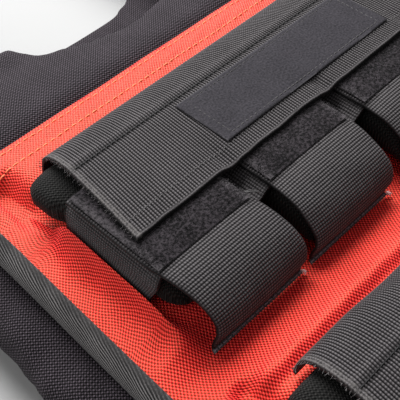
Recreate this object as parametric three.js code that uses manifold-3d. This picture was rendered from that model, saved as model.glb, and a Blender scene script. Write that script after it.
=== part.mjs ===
// A weighted vest that lies on its back, front up, with two rows of four weight pockets.
// Units are millimetres. +X runs along the pocket rows, +Y to the neck, +Z up from the floor.
// The origin is on the floor, under the middle of the vest.

import * as THREE from "three";
import { mergeVertices } from "three/addons/utils/BufferGeometryUtils.js";
import Module from "manifold-3d";

const wasm = await Module();
wasm.setup();

// Driving dimensions of the whole vest
const LENGTH = 524;
const PANEL_THICKNESS = 9;
const HOLLOW = 26;
const CLEARANCE = 0.3;
const BODY_OVERHANG = 3;
const RIM_WIDTH = 9;
const RIM_SHARE = 0.4;
const STRAP_FRONT = 110;
const STRAP_BACK = 150;
const STRAP_LIFT = 1;

// Driving dimensions of the pockets, with heights above the sewn level
const POCKETS_PER_ROW = 4;
const WEBBING = 50;
const WEBBING_THICKNESS = 1.6;
const POCKET_GAP = 10;
const LOOP_LEAN = 0.8;
const FLAP = { creaseHalf: 105.8, flare: 0.116, thickness: 1.8 };
const PATCH = { width: 48, upper: -9, lower: -57, underside: 28.8, thickness: 1.1 };
const LABEL = { width: 106, upper: -5, lower: -34, underside: 32.6, thickness: 0.7 };
const WEIGHT_WIDTH = 47;
const BAND = { upper: -7, lower: -57, top: 26.2, gapEdge: 25, gap: 21.8, flatHalf: 20 };

// Driving dimensions of the cloth at the edges
const RED_CLOTH = 1.7;
const TAPE = { thickness: 1.4, lower: -254, upper: 40 };
const SIDE = { thickness: 2.2, lower: -246, upper: 24 };

// Heights above the floor
const FRONT_BOTTOM = PANEL_THICKNESS + HOLLOW;
const FRONT_TOP = FRONT_BOTTOM + PANEL_THICKNESS;
const RED_BOTTOM = FRONT_TOP + CLEARANCE;
const SEWN = RED_BOTTOM + RED_CLOTH;

// The pocket rows: where each flap's crease runs
const ROWS = [
  { name: "upper", crease: -8 },
  { name: "lower", crease: -143 },
];

// Half width of the red panel along the vest. The body stands out a little further.
const OUTLINE = [
  { y: -262, half: 129.5 },
  { y: -240, half: 132.5 },
  { y: -150, half: 137 },
  { y: -52, half: 134.5 },
  { y: 0, half: 132 },
  { y: 41, half: 130.5 },
  { y: 64, half: 126 },
  { y: 86, half: 117.5 },
  { y: 110, half: 111.5 },
  { y: 150, half: 109 },
];

// The necklines, from the middle out to the straps
const FRONT_NECK = [
  { y: 76, half: 0 },
  { y: 78, half: 17 },
  { y: 84, half: 33 },
  { y: 95, half: 46 },
  { y: 110, half: 54 },
  { y: 130, half: 59.5 },
  { y: 150, half: 61 },
];
const BACK_NECK = [
  { y: 122, half: 0 },
  { y: 123.5, half: 20 },
  { y: 128, half: 40 },
  { y: 137, half: 54 },
  { y: 150, half: 61 },
];

// The chest swells above the red panel's top edge, by this much over the flat front
const CHEST = [
  { y: 41.6, lift: 0 },
  { y: 45, lift: 4 },
  { y: 54, lift: 5.6 },
  { y: 66, lift: 5 },
  { y: 94, lift: 0 },
];

// The back leaves the floor a little towards the straps
const BACK_END = [
  { y: 60, lift: 0 },
  { y: 105, lift: STRAP_LIFT / 2 },
  { y: STRAP_BACK, lift: STRAP_LIFT },
];

// Red panel beside the pockets: dy from a row's crease, z above the sewn level
const RED_MARGIN = [
  { dy: 31, z: 9 },
  { dy: 25, z: 8 },
  { dy: 13, z: 11.5 },
  { dy: 0, z: 15.5 },
  { dy: -20, z: 15.5 },
  { dy: -38, z: 13.5 },
  { dy: -52, z: 12.5 },
  { dy: -68, z: 8.5 },
  { dy: -79, z: 2.5 },
  { dy: -85, z: 0 },
];

// Red panel under the pockets, pressed flat by the weights
const RED_FLOOR = [
  { dy: 31, z: 9.2 },
  { dy: 26, z: 9 },
  { dy: 22, z: 8.4 },
  { dy: 17, z: 5.4 },
  { dy: 11, z: 5 },
  { dy: -53, z: 5 },
  { dy: -60, z: 5 },
  { dy: -69, z: 3 },
  { dy: -77, z: 0 },
  { dy: -85, z: 0 },
];

// Red panel above, between and below the rows: y along the vest
const RED_BETWEEN = [
  { y: 41, z: 7.5 },
  { y: 33, z: 9 },
  { y: -100, z: 4.5 },
  { y: -108, z: 7.5 },
  { y: -240, z: 4 },
  { y: -249, z: 4.5 },
  { y: -257, z: 1 },
];
const RED_SIDE = { floorEnd: 115.95, marginStart: 116.6, edgeHeight: 1.5 };

// Sections of the webbing: dy from the crease, z above the sewn level
const FLAP_SECTION = [
  { dy: 24.6, z: 9.8 },
  { dy: 23.9, z: 14 },
  { dy: 21.6, z: 20.5 },
  { dy: 16.6, z: 26 },
  { dy: 9, z: 29.8 },
  { dy: 0, z: 31.6 },
  { dy: -14, z: 32.2 },
  { dy: -43, z: 32.2 },
];
const LOOP_SECTION = [
  { dy: -8, z: 28.5 },
  { dy: -45, z: 28.5 },
  { dy: -57, z: 28.4 },
  { dy: -67, z: 26.4 },
  { dy: -76.5, z: 21.2 },
  { dy: -82.6, z: 14 },
  { dy: -84, z: 8.5 },
  { dy: -82.2, z: 4.2 },
  { dy: -81.9, z: 2.4 },
  { dy: -83.2, z: 1.9 },
];

// A weight in its cover: dy from the crease, then the heights of its underside and its top
const WEIGHT_SECTION = [
  { dy: 18, bottom: 11, top: 15.5 },
  { dy: 16.5, bottom: 8.4, top: 19.6 },
  { dy: 12, bottom: 6.2, top: 22.4 },
  { dy: 4, bottom: 5.6, top: 23.6 },
  { dy: -56, bottom: 5.6, top: 23.6 },
  { dy: -66, bottom: 5.6, top: 21.6 },
  { dy: -73.4, bottom: 5.6, top: 17.2 },
  { dy: -77.4, bottom: 6, top: 12.4 },
  { dy: -78.8, bottom: 7.6, top: 9.8 },
];

// Left end of a band, where it turns down beside the outer weight
const BAND_END = [
  { x: -115.4, z: 5.6 },
  { x: -115.6, z: 15 },
  { x: -114.6, z: 22 },
  { x: -112, z: 25.2 },
];

// Sections of the edge pieces: out from the red panel's edge, z above the floor
const TAPE_SECTION = [
  { out: -0.5, z: SEWN + 4.9 },
  { out: 1.6, z: SEWN + 3.7 },
  { out: 3.5, z: SEWN + 1.2 },
  { out: 4.9, z: SEWN - 2.4 },
  { out: 5.4, z: SEWN - 7.2 },
  { out: 4.9, z: SEWN - 12 },
];
const SIDE_SECTION = [
  { out: -10, z: 34.6 },
  { out: 2, z: 33.5 },
  { out: 13, z: 30.6 },
  { out: 21.5, z: 25.5 },
  { out: 24.5, z: 18.5 },
  { out: 21.5, z: 11.5 },
  { out: 14, z: 7.2 },
  { out: 4.4, z: 5.6 },
];

// Materials
const cloth = (color, roughness) => new THREE.MeshStandardMaterial({ color, roughness, metalness: 0 });
const BLACK_CLOTH = cloth("#242328", 0.9);
const RED_WEAVE = cloth("#d9402f", 0.85);
const BLACK_WEBBING = cloth("#3a3839", 0.75);
const FUZZY_TAPE = cloth("#454049", 1);
const EDGE_TAPE = cloth("#33352f", 0.85);
const LABEL_SATIN = cloth("#4a4a50", 0.6);
const WEIGHT_COVER = cloth("#1c1c1f", 0.85);

const lerp = THREE.MathUtils.lerp;
const vest = new THREE.Group();

// Evenly spaced values from 0 to 1
function even(count) {
  return Array.from({ length: count + 1 }, (_, i) => i / count);
}

// Smooth curve through a table: one column's value at a place in another column
function smooth(rows, placeKey, valueKey) {
  const sorted = rows.toSorted((a, b) => a[placeKey] - b[placeKey]);
  const places = sorted.map((row) => row[placeKey]);
  const values = sorted.map((row) => row[valueKey]);
  const curve = new THREE.CubicInterpolant(places, values, 1);
  return (place) => curve.evaluate(place)[0];
}

// Curve through a section's rows: the named column becomes x, and z becomes y
function sectionCurve(rows, acrossKey) {
  return new THREE.CatmullRomCurve3(rows.map((row) => new THREE.Vector3(row[acrossKey], row.z, 0)));
}

// Closed solid between two surfaces laid out over the same u and v stops
function closedSolid(outer, inner, us, vs) {
  const positions = [];
  const index = [];
  const corner = (side, i, j) => (side * us.length + i) * vs.length + j;
  const quad = (a, b, c, d) => index.push(a, b, c, a, c, d);
  for (const surface of [outer, inner]) {
    for (const u of us) {
      for (const v of vs) positions.push(...surface(u, v).toArray());
    }
  }
  const lastU = us.length - 1;
  const lastV = vs.length - 1;
  for (let i = 0; i < lastU; i++) {
    for (let j = 0; j < lastV; j++) {
      quad(corner(0, i, j), corner(0, i + 1, j), corner(0, i + 1, j + 1), corner(0, i, j + 1));
      quad(corner(1, i, j), corner(1, i, j + 1), corner(1, i + 1, j + 1), corner(1, i + 1, j));
    }
    quad(corner(1, i, 0), corner(1, i + 1, 0), corner(0, i + 1, 0), corner(0, i, 0));
    quad(corner(0, i, lastV), corner(0, i + 1, lastV), corner(1, i + 1, lastV), corner(1, i, lastV));
  }
  for (let j = 0; j < lastV; j++) {
    quad(corner(0, 0, j), corner(0, 0, j + 1), corner(1, 0, j + 1), corner(1, 0, j));
    quad(corner(1, lastU, j), corner(1, lastU, j + 1), corner(0, lastU, j + 1), corner(0, lastU, j));
  }
  const geometry = new THREE.BufferGeometry();
  geometry.setAttribute("position", new THREE.Float32BufferAttribute(positions, 3));
  geometry.setIndex(index);
  return geometry;
}

// Direction straight out of a surface, from its slopes in u and v
function normalAt(surface, u, v) {
  const reach = 1e-3;
  const alongU = surface(Math.min(u + reach, 1), v).sub(surface(Math.max(u - reach, 0), v));
  const alongV = surface(u, Math.min(v + reach, 1)).sub(surface(u, Math.max(v - reach, 0)));
  return alongU.cross(alongV).normalize();
}

// Cloth of even thickness under a surface
function sheet(surface, thickness, us, vs) {
  const inner = (u, v) => surface(u, v).addScaledVector(normalAt(surface, u, v), -thickness);
  return closedSolid(surface, inner, us, vs);
}

// The same piece on the other side of the vest
function mirrored(geometry) {
  const copy = geometry.clone().scale(-1, 1, 1);
  const index = copy.getIndex();
  for (let i = 0; i < index.count; i += 3) {
    const second = index.getX(i + 1);
    index.setX(i + 1, index.getX(i + 2));
    index.setX(i + 2, second);
  }
  return copy;
}

function addPiece(name, geometry, material) {
  const mesh = new THREE.Mesh(geometry, material);
  mesh.name = name;
  vest.add(mesh);
  return mesh;
}

function addPair(name, rightGeometry, material) {
  addPiece(`${name}_right`, rightGeometry, material);
  addPiece(`${name}_left`, mirrored(rightGeometry), material);
}

// Solids for cutting
function toManifold(geometry) {
  const bare = geometry.clone();
  bare.deleteAttribute("normal");
  bare.deleteAttribute("uv");
  const merged = mergeVertices(bare);
  const vertProperties = new Float32Array(merged.getAttribute("position").array);
  const triVerts = new Uint32Array(merged.getIndex().array);
  return new wasm.Manifold(new wasm.Mesh({ numProp: 3, vertProperties, triVerts }));
}

function toGeometry(manifold) {
  const mesh = manifold.getMesh();
  const geometry = new THREE.BufferGeometry();
  geometry.setAttribute("position", new THREE.BufferAttribute(mesh.vertProperties, 3));
  geometry.setIndex(new THREE.BufferAttribute(mesh.triVerts, 1));
  return geometry;
}

const halfWidth = smooth(OUTLINE, "y", "half");

// Share of a padded panel's thickness at a distance from its rim
function rimShare(distance) {
  const inward = Math.min(distance / RIM_WIDTH, 1);
  return RIM_SHARE + (1 - RIM_SHARE) * Math.sqrt(1 - (1 - inward) ** 2);
}

// Padded panel with rounded rims at its sides and hem, cut out at the neck.
// Its two faces are raised along y by the lifts given.
function paddedPanel({ bottom, upperY, neck, upperLift, lowerLift, extraStops }) {
  const lowerY = -LENGTH / 2;
  const middle = bottom + PANEL_THICKNESS / 2;
  const rim = [0.93, 0.965, 0.985, 1];
  const across = [...rim.toReversed().map((stop) => -stop), ...rim];
  const hemStops = [0, 0.006, 0.014, 0.025];
  const evenStops = even(12).slice(1);
  const chosenStops = extraStops.map((y) => (y - lowerY) / (upperY - lowerY));
  const along = [...hemStops, ...evenStops, ...chosenStops].toSorted((a, b) => a - b);
  const face = (side, lift) => (u, v) => {
    const y = lerp(lowerY, upperY, v);
    const half = halfWidth(y) + BODY_OVERHANG;
    const share = rimShare(Math.min(half * (1 - Math.abs(u)), y - lowerY));
    return new THREE.Vector3(half * u, y, middle + share * ((side * PANEL_THICKNESS) / 2 + lift(y)));
  };
  const panel = closedSolid(face(1, upperLift), face(-1, lowerLift), across, along);
  return toGeometry(toManifold(panel).subtract(toManifold(neckCutter(neck))));
}

function backPanel() {
  const lift = smooth(BACK_END, "y", "lift");
  const ends = { bottom: 0, upperY: STRAP_BACK, neck: BACK_NECK, extraStops: [] };
  return paddedPanel({ ...ends, upperLift: lift, lowerLift: lift });
}

function frontPanel() {
  const ends = { bottom: FRONT_BOTTOM, upperY: STRAP_FRONT, neck: FRONT_NECK };
  const extraStops = CHEST.map(({ y }) => y);
  return paddedPanel({ ...ends, extraStops, upperLift: smooth(CHEST, "y", "lift"), lowerLift: () => 0 });
}

// Block that cuts a neckline through a panel
function neckCutter(neck) {
  const reach = 40;
  const last = neck[neck.length - 1];
  const leftSide = neck.toReversed().map((row) => new THREE.Vector2(-row.half, row.y));
  const rightSide = neck.slice(1).map((row) => new THREE.Vector2(row.half, row.y));
  const shape = new THREE.Shape();
  shape.moveTo(last.half, last.y + reach);
  shape.lineTo(-last.half, last.y + reach);
  shape.lineTo(-last.half, last.y);
  shape.splineThru([...leftSide.slice(1), ...rightSide]);
  const depth = FRONT_TOP + 2 * reach;
  const cutter = new THREE.ExtrudeGeometry(shape, { depth, curveSegments: 2, bevelEnabled: false });
  return cutter.translate(0, 0, -reach);
}

// Padded right strap: from the front panel over the shoulder fold to the back panel
function shoulderStrap() {
  const frontZ = FRONT_TOP - PANEL_THICKNESS / 2;
  const backZ = STRAP_LIFT + PANEL_THICKNESS / 2;
  const foldRadius = (frontZ - backZ) / 2;
  const foldY = LENGTH / 2 - foldRadius - PANEL_THICKNESS / 2;
  const path = new THREE.Path();
  path.moveTo(STRAP_FRONT + CLEARANCE, frontZ);
  path.lineTo(foldY, frontZ);
  path.absarc(foldY, (frontZ + backZ) / 2, foldRadius, Math.PI / 2, -Math.PI / 2, true);
  path.lineTo(STRAP_BACK + CLEARANCE, backZ);
  const neckHalf = smooth(FRONT_NECK, "y", "half");
  const face = (side) => (u, v) => {
    const place = path.getPointAt(u);
    const run = path.getTangentAt(u);
    const widthY = run.x > 0 ? place.x : STRAP_BACK;
    const outerX = halfWidth(widthY) + BODY_OVERHANG;
    const innerX = neckHalf(widthY);
    const fromRim = Math.min(v, 1 - v) * (outerX - innerX);
    const lift = (side * PANEL_THICKNESS * rimShare(fromRim)) / 2;
    return new THREE.Vector3(lerp(outerX, innerX, v), place.x - run.y * lift, place.y + run.x * lift);
  };
  const across = [0, 0.03, 0.07, 0.14, 0.86, 0.93, 0.97, 1];
  return closedSolid(face(1), face(-1), even(26), across);
}

// Red panel: flat where it is sewn down, standing up beside and between the pockets
function redRows(rowSection) {
  const inRows = ROWS.flatMap(({ crease }) => rowSection.map(({ dy, z }) => ({ y: crease + dy, z })));
  return [...RED_BETWEEN, ...inRows];
}

function redPanel() {
  const margin = smooth(redRows(RED_MARGIN), "y", "z");
  const floor = smooth(redRows(RED_FLOOR), "y", "z");
  const edgeStops = [0, 0.35, 0.65, 0.85, 1];
  const edgeReaches = edgeStops.map((stop) => (y) => lerp(RED_SIDE.marginStart, halfWidth(y), stop));
  const reaches = [() => 0, () => RED_SIDE.floorEnd, ...edgeReaches];
  const right = reaches.map((_, i) => i);
  const us = [...right.slice(1).toReversed().map((i) => -i), ...right];
  const topAt = (i, y) => {
    if (i < 2) return floor(y);
    return lerp(margin(y), RED_SIDE.edgeHeight, edgeStops[i - 2] ** 1.5);
  };
  const outer = (u, y) => {
    const i = Math.abs(u);
    return new THREE.Vector3(Math.sign(u) * reaches[i](y), y, SEWN + topAt(i, y));
  };
  const inner = (u, y) => outer(u, y).setZ(RED_BOTTOM);
  return closedSolid(outer, inner, us, redStops());
}

// Places along the red panel: every row of its tables, and halfway where they lie far apart
function redStops() {
  const nearest = 1.5;
  const farthest = 12;
  const places = [...redRows(RED_MARGIN), ...redRows(RED_FLOOR)].map((row) => row.y);
  const sorted = places.toSorted((a, b) => a - b);
  const apart = sorted.filter((y, i) => i === 0 || y - sorted[i - 1] > nearest);
  return apart.flatMap((y, i) => {
    const next = apart[i + 1] ?? y;
    return next - y > farthest ? [y, (y + next) / 2] : [y];
  });
}

// Tape or cloth swept along the right edge of the red panel
function edgeSweep(section, { thickness, lower, upper }) {
  const curve = sectionCurve(section, "out");
  const surface = (u, v) => {
    const y = lerp(lower, upper, v);
    const point = curve.getPoint(u);
    return new THREE.Vector3(halfWidth(y) + point.x, y, point.y);
  };
  return sheet(surface, thickness, even(2 * (section.length - 1)), even(9));
}

// Webbing of one section across the vest. Its two ends, side -1 and 1, are where xAt puts them along it.
function webbing(section, crease, thickness, xAt) {
  const curve = sectionCurve(section, "dy");
  const surface = (u, v) => {
    const point = curve.getPoint(u);
    return new THREE.Vector3(xAt(lerp(-1, 1, v), u, point.x), crease + point.x, SEWN + point.y);
  };
  return sheet(surface, thickness, even(2 * (section.length - 1)), [0, 1]);
}

const POCKET_PITCH = WEBBING + POCKET_GAP;
const pocketX = (column) => (column - (POCKETS_PER_ROW + 1) / 2) * POCKET_PITCH;

// Band along a row: down at both ends, over every weight, and sunk between them
function rowBand(crease) {
  const rightEnd = BAND_END.toReversed().map(({ x, z }) => ({ x: -x, z }));
  const overPockets = [];
  for (let column = 1; column <= POCKETS_PER_ROW; column++) {
    const x = pocketX(column);
    overPockets.push({ x: x - BAND.flatHalf, z: BAND.top }, { x, z: BAND.top });
    overPockets.push({ x: x + BAND.flatHalf, z: BAND.top });
    if (column < POCKETS_PER_ROW) {
      overPockets.push({ x: x + WEBBING / 2, z: BAND.gapEdge });
      overPockets.push({ x: x + POCKET_PITCH / 2, z: BAND.gap });
      overPockets.push({ x: x + POCKET_PITCH - WEBBING / 2, z: BAND.gapEdge });
    }
  }
  const curve = sectionCurve([...BAND_END, ...overPockets, ...rightEnd], "x");
  const surface = (u, v) => {
    const point = curve.getPoint(u);
    return new THREE.Vector3(point.x, crease + lerp(BAND.lower, BAND.upper, v), SEWN + point.y);
  };
  return sheet(surface, WEBBING_THICKNESS, even(2 * (curve.points.length - 1)), [0, 1]);
}

// Flat piece that lies over a row, such as a patch of fastener tape
function flatPiece({ width, upper, lower, underside, thickness }, x, crease) {
  const height = SEWN + underside + thickness / 2;
  const block = new THREE.BoxGeometry(width, upper - lower, thickness);
  return block.translate(x, crease + (upper + lower) / 2, height);
}

// Weight of one section, rounded over at its two ends
function weightBar(x, crease) {
  const across = [-1, -0.94, -0.75, 0.75, 0.94, 1];
  const face = (side) => ({ dy, bottom, top }, v) => {
    const half = WEIGHT_WIDTH / 2;
    const share = rimShare(half * (1 - Math.abs(v)));
    const z = (bottom + top) / 2 + (side * share * (top - bottom)) / 2;
    return new THREE.Vector3(x + half * v, crease + dy, SEWN + z);
  };
  return closedSolid(face(1), face(-1), WEIGHT_SECTION.toReversed(), across.toReversed());
}

// Where the ends of a flap lie: it widens towards its lower edge
function flapX(side, _, dy) {
  return side * (FLAP.creaseHalf - FLAP.flare * dy);
}

// Where the edges of a loop lie: it leans a little to +X towards its hem
function loopX(x) {
  return (side, u) => x + (side * WEBBING) / 2 + LOOP_LEAN * u ** 2;
}

// Body of the vest
addPiece("back_panel", backPanel(), BLACK_CLOTH);
addPiece("front_panel", frontPanel(), BLACK_CLOTH);
addPair("shoulder_strap", shoulderStrap(), BLACK_CLOTH);
addPair("side_panel", edgeSweep(SIDE_SECTION, SIDE), BLACK_CLOTH);
addPair("side_binding", edgeSweep(TAPE_SECTION, TAPE), EDGE_TAPE);
addPiece("red_panel", redPanel(), RED_WEAVE);

// Pocket rows
for (const { name, crease } of ROWS) {
  addPiece(`band_${name}`, rowBand(crease), BLACK_WEBBING);
  for (let column = 1; column <= POCKETS_PER_ROW; column++) {
    const x = pocketX(column);
    const loop = webbing(LOOP_SECTION, crease, WEBBING_THICKNESS, loopX(x));
    addPiece(`weight_${name}_${column}`, weightBar(x, crease), WEIGHT_COVER);
    addPiece(`loop_${name}_${column}`, loop, BLACK_WEBBING);
    addPiece(`patch_${name}_${column}`, flatPiece(PATCH, x, crease), FUZZY_TAPE);
  }
  addPiece(`flap_${name}`, webbing(FLAP_SECTION, crease, FLAP.thickness, flapX), BLACK_WEBBING);
}
addPiece("label", flatPiece(LABEL, 0, ROWS[0].crease), LABEL_SATIN);

export default vest;
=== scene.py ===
"""A weighted vest that lies on its back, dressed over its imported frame.

Sizes and places are in millimetres in the vest's own frame, and meshes are made in metres.
"""

import math

import bpy
import numpy as np
from mathutils import Matrix, Vector
from mathutils.bvhtree import BVHTree


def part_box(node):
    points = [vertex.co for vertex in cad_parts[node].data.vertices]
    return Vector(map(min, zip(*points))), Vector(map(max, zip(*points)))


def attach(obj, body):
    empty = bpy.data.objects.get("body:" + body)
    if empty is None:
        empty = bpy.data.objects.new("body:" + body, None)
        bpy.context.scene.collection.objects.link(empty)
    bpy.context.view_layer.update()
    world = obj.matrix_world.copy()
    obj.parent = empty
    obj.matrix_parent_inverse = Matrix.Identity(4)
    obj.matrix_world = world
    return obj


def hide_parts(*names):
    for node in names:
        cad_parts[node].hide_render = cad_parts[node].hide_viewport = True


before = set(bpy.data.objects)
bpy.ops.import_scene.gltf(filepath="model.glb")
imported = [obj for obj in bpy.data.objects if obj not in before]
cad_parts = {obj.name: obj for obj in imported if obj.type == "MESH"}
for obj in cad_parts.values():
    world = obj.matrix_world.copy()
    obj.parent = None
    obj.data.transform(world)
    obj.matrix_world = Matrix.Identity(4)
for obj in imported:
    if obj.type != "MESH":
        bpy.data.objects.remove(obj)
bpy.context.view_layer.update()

MM = 0.001
BODY = "root"
SIDES = {"left": -1, "right": 1}
UP = (0.0, 0.0, 1.0)

# Heights of the red panel's underside, and of the level that the pockets are sewn on
RED_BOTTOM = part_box("red_panel")[0].z / MM
RED_THICKNESS = 1.7
SEWN = RED_BOTTOM + RED_THICKNESS

# Pocket rows: y of each flap's crease, from which every dy is counted
ROWS = {"upper": -8, "lower": -143}
COLUMNS = (1, 2, 3, 4)
POCKET_PITCH = 60
GAP_HALF = 6
WEBBING = 50
WEBBING_THICKNESS = 1.6
FLAP = {"crease_half": 105.8, "flare": 0.116, "thickness": 1.8, "lower": -43}
PATCH = {"width": 48, "upper": -9, "lower": -57, "top": 29.9, "thickness": 1.1}
LABEL = {"half": 53, "upper": -5, "lower": -34, "top": 33.3, "thickness": 0.7}
BAND = {"upper": -7, "lower": -57, "top": 25.8, "gap_edge": 24.7, "gap": 21.6, "flat_half": 20, "slant": 5}

# How far each loop is pulled to +X at its front and at its hem, by column
FRONT_PULL = {1: 5.2, 2: 1.0, 3: 2.5, 4: 1.5}
HEM_PULL = {1: 2.4, 2: -2.0, 3: 1.0, 4: 0.0}

# Weaves
RIB_PITCH = 1.33
RIB_DEPTH = 0.5
RIB_SAMPLES = 6
RIB_SHARPNESS = 1.8
BEAD_PITCH = 1.2
TAPE_RIB_PITCH = 1.6
TAPE_RIB_SLANT = math.radians(24)
TWILL_PITCH = 0.6
PLY_PITCH = 0.45
RED_WEAVE = (1.52, 2.0)
OXFORD_WEAVE = (1.5, 1.65)
COVER_WEAVE = (1.2, 1.6)

# Half width of the red panel along y
OUTLINE = [(-262, 129.5), (-240, 132.5), (-150, 137), (-52, 134.5), (0, 132), (41, 130.5),
           (64, 126), (86, 117.5), (110, 111.5), (150, 109)]

# Red panel: dy, or y for the stretches between the rows, then height above the sewn level
RED_MARGIN = [(31, 9), (25, 8), (13, 12.5), (0, 17.5), (-20, 17.5), (-38, 15.5), (-52, 14), (-68, 9),
              (-79, 2.5), (-85, 0)]
RED_FLOOR = [(31, 9.2), (26, 9), (22, 8.4), (17, 5.4), (11, 5), (-53, 5), (-60, 5), (-69, 3), (-77, 0),
             (-85, 0)]
RED_BETWEEN = [(41, 7.5), (33, 9), (-97, 1), (-103, 3.2), (-109, 6.8), (-240, 4), (-249, 4.5), (-257, 1)]
RED_Y = (-257, 41)
RED_SIDE = {"floor_end": 115.95, "margin_start": 116.6, "edge_height": 2.3, "tucked": 1.0}
RED_DIP = {"dy": 26, "width": 5, "depth": 3.4}
RED_VALLEY = {"out": 0.6, "width": 5, "depth": 8.5, "lowest": 0.6}
RED_FOLD_WAVE = 30
RED_SEAM_INSETS = (3.2, 12.4)

# Heights between which the red cloth counts as standing, and as padding
STANDING = (5, 11)
PADDING = (3, 7)

# Stretches of every row: the dy where each begins, is full, fades and ends
BESIDE_LOOPS = (-10, -55, -95, -110)
PAST_BAND = (-61, -72, -86, -100)
BESIDE_ROOT = (-9, 2, 31, 40)

# Sections of the webbing: dy, or x for a band's end, then height above the sewn level
FLAP_SECTION = [(24.6, 9.8), (23.9, 14), (21.6, 20.5), (16.6, 26), (9, 29.8), (0, 31.6), (-14, 32.2),
                (FLAP["lower"], 32.2)]
LOOP_SECTION = [(-8, 28.5), (-45, 28.5), (-57, 28.4), (-67, 26.4), (-76.5, 21.2), (-82.6, 14), (-84, 8.5),
                (-82.2, 4.2), (-81.9, 2.4), (-83.2, 1.9)]
BAND_END = [(-115.4, 5.6), (-115.6, 15), (-114.6, 22), (-112, 25.2)]
FLAP_TOP = FLAP_SECTION[-1][1]
LOOP_TOP = LOOP_SECTION[0][1]

# A flap: its shade by distance from the lower edge (a pale selvedge line, and painted shade where the edge
# turns under), its cut ends (their last rim painted in shade), and its crease as middle and width (a painted
# dark line in the fold, and a painted highlight on the ridge beside it)
SELVEDGE_AND_EDGE_SHADE = [(0, 0.2), (0.35, 0.62), (0.75, 0.8), (1.2, 0.6), (1.8, 0)]
FACE_END = 2.6
EDGE_ROUND = 0.9
CUT_RIM = 0.5
CUT_RANGE = (1.8, 3.8)
CREASE_LINE = (-0.5, 0.9)
CREASE_RIDGE = (2.4, 1.5)
FLAP_SEAMS = {"crease": -1.2, "lower": -35.4}

# Bends of the lower flap's roll: shift in y, and the x between which it comes in
ROLL_START = 0.9
ROLL_BENDS = ((-2.6, -80, -48), (1.7, -20, 20))

# A loop: places across its half width and its rounded edge, then its hem in shares of its length
LOOP_HALF = np.array([0.15, 0.4, 0.7, 0.9, 0.965, 0.985, 1])
LOOP_ROUND = 0.035
LOOP_LIP = (0.981, 0.986)
LOOP_TUCK = (0.974, 0.008)

# A patch's pile and its place over the loop, and the label's seam
PILE = 0.2
PATCH_LIFT = 0.22
LABEL_SEAM = {"inset": 2.2, "fold": 4.6, "depth": 0.12}

# A weight in its cover: dy, then the heights of its underside and its top
WEIGHT_SECTION = [(18, 11, 15.5), (16.5, 8.4, 19.6), (12, 6.2, 22.4), (4, 5.6, 23.6), (-56, 5.6, 23.6),
                  (-66, 5.6, 21.6), (-73.4, 5.6, 17.2), (-77.4, 6, 12.4), (-78.8, 7.6, 9.8)]
WEIGHT = {"width": 47, "side_round": 9, "side_share": 0.25, "shorter_from": -40, "bulge": 3.4}
WEIGHT_HELD_BACK = {1: 14, 2: 0, 3: 0, 4: 14}
WEIGHT_CORNER = {1: 11, 2: 2, 3: 2, 4: 11}
WEIGHT_OUTER_SIDE = {1: -1, 2: 0, 3: 0, 4: 1}
BULGE_LOWER = (-5, 3)
BULGE_UPPER = (18.5, 12)

# Sections of the edge pieces: out from the red panel's edge, then height above the floor
TAPE_SECTION = [(0.8, SEWN + 4.15), (1.9, SEWN + 3.3), (3.5, SEWN + 1.2), (4.9, SEWN - 2.4),
                (5.4, SEWN - 7.2), (4.9, SEWN - 12)]
TAPE = {"thickness": 1.1, "lower": -254, "upper": 40, "waviness": 0.4}
SIDE_SECTION = [(-10, 34.6), (2, 33.5), (13, 30.6), (21.5, 25.5), (24.5, 18.5), (21.5, 11.5), (14, 7.2),
                (4.4, 5.6)]
SIDE = {"thickness": 2.2, "lower": -246, "upper": 24, "waviness": 0.8}

# Padded body: its swelling, the space left to the front pad, and its seams
PUFF_FRAMES = 20
PUFF_MOST = 2.2
PAD_VOXEL = 4.5
FRONT_PAD = {"covered": 42.5, "below_red": 0.4, "lowest": -13.4, "side_lift": 2.4, "sides": (102, 116)}
PAD_EDGE = 3
PAD_SEAM_INSET = 5.0
ARMHOLE_Y = (44, 106)
BACK_SIDE_Y = (-254, 146)
BACK_HEM = {"y": -262, "half": 124}

# Camera, in degrees, metres and pixels, then floor and lights, in metres and watts
CAMERA_ANGLES = {"azimuth": -46.26, "elevation": 49.15, "roll": -0.11}
CAMERA_PLACE = (-0.2332, -0.1992, 0.3198)
FOCAL_PIXELS = 865
IMAGE_PIXELS = 400
FLOOR_HALF = 12
KEY = {"energy": 66, "size": 1.1, "place_at": (0.42, 0.9, 1.16), "aim_at": (-0.05, -0.04, 0.05)}
FILL = {"energy": 3.6, "size": 0.9, "place_at": (-0.9, 0.1, 0.7), "aim_at": (-0.05, -0.03, 0.05)}
SKY = 0.31


# Curves

def smooth(table, places):
    """Smooth curve through a table of (place, value) rows, held level past its ends."""
    xs, ys = np.array(sorted(table), float).T
    slopes = np.gradient(ys, xs)
    i = np.clip(np.searchsorted(xs, places) - 1, 0, len(xs) - 2)
    width = xs[i + 1] - xs[i]
    t = np.clip((places - xs[i]) / width, 0, 1)
    start = (1 + 2 * t) * (1 - t) ** 2 * ys[i] + t * (1 - t) ** 2 * width * slopes[i]
    end = t ** 2 * (3 - 2 * t) * ys[i + 1] + t ** 2 * (t - 1) * width * slopes[i + 1]
    return start + end


def ease(low, high, value):
    t = np.clip((value - low) / (high - low), 0, 1)
    return t * t * (3 - 2 * t)


def bell(middle, width, value):
    return np.exp(-((value - middle) / width) ** 2)


def near_edge(distance, reach):
    """1 at an edge, 0 from its reach on."""
    return np.clip(1 - distance / reach, 0, 1) ** 2


def lengths_along(points):
    steps = np.linalg.norm(np.diff(points, axis=0), axis=-1)
    return np.concatenate([[0], np.cumsum(steps)])


def at_places(places, run, columns):
    return np.stack([np.interp(places, run, column) for column in columns.T], axis=-1)


def xyz(*columns):
    """Points from columns that are widened to one shape."""
    return np.stack(np.broadcast_arrays(*columns), axis=-1)


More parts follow.
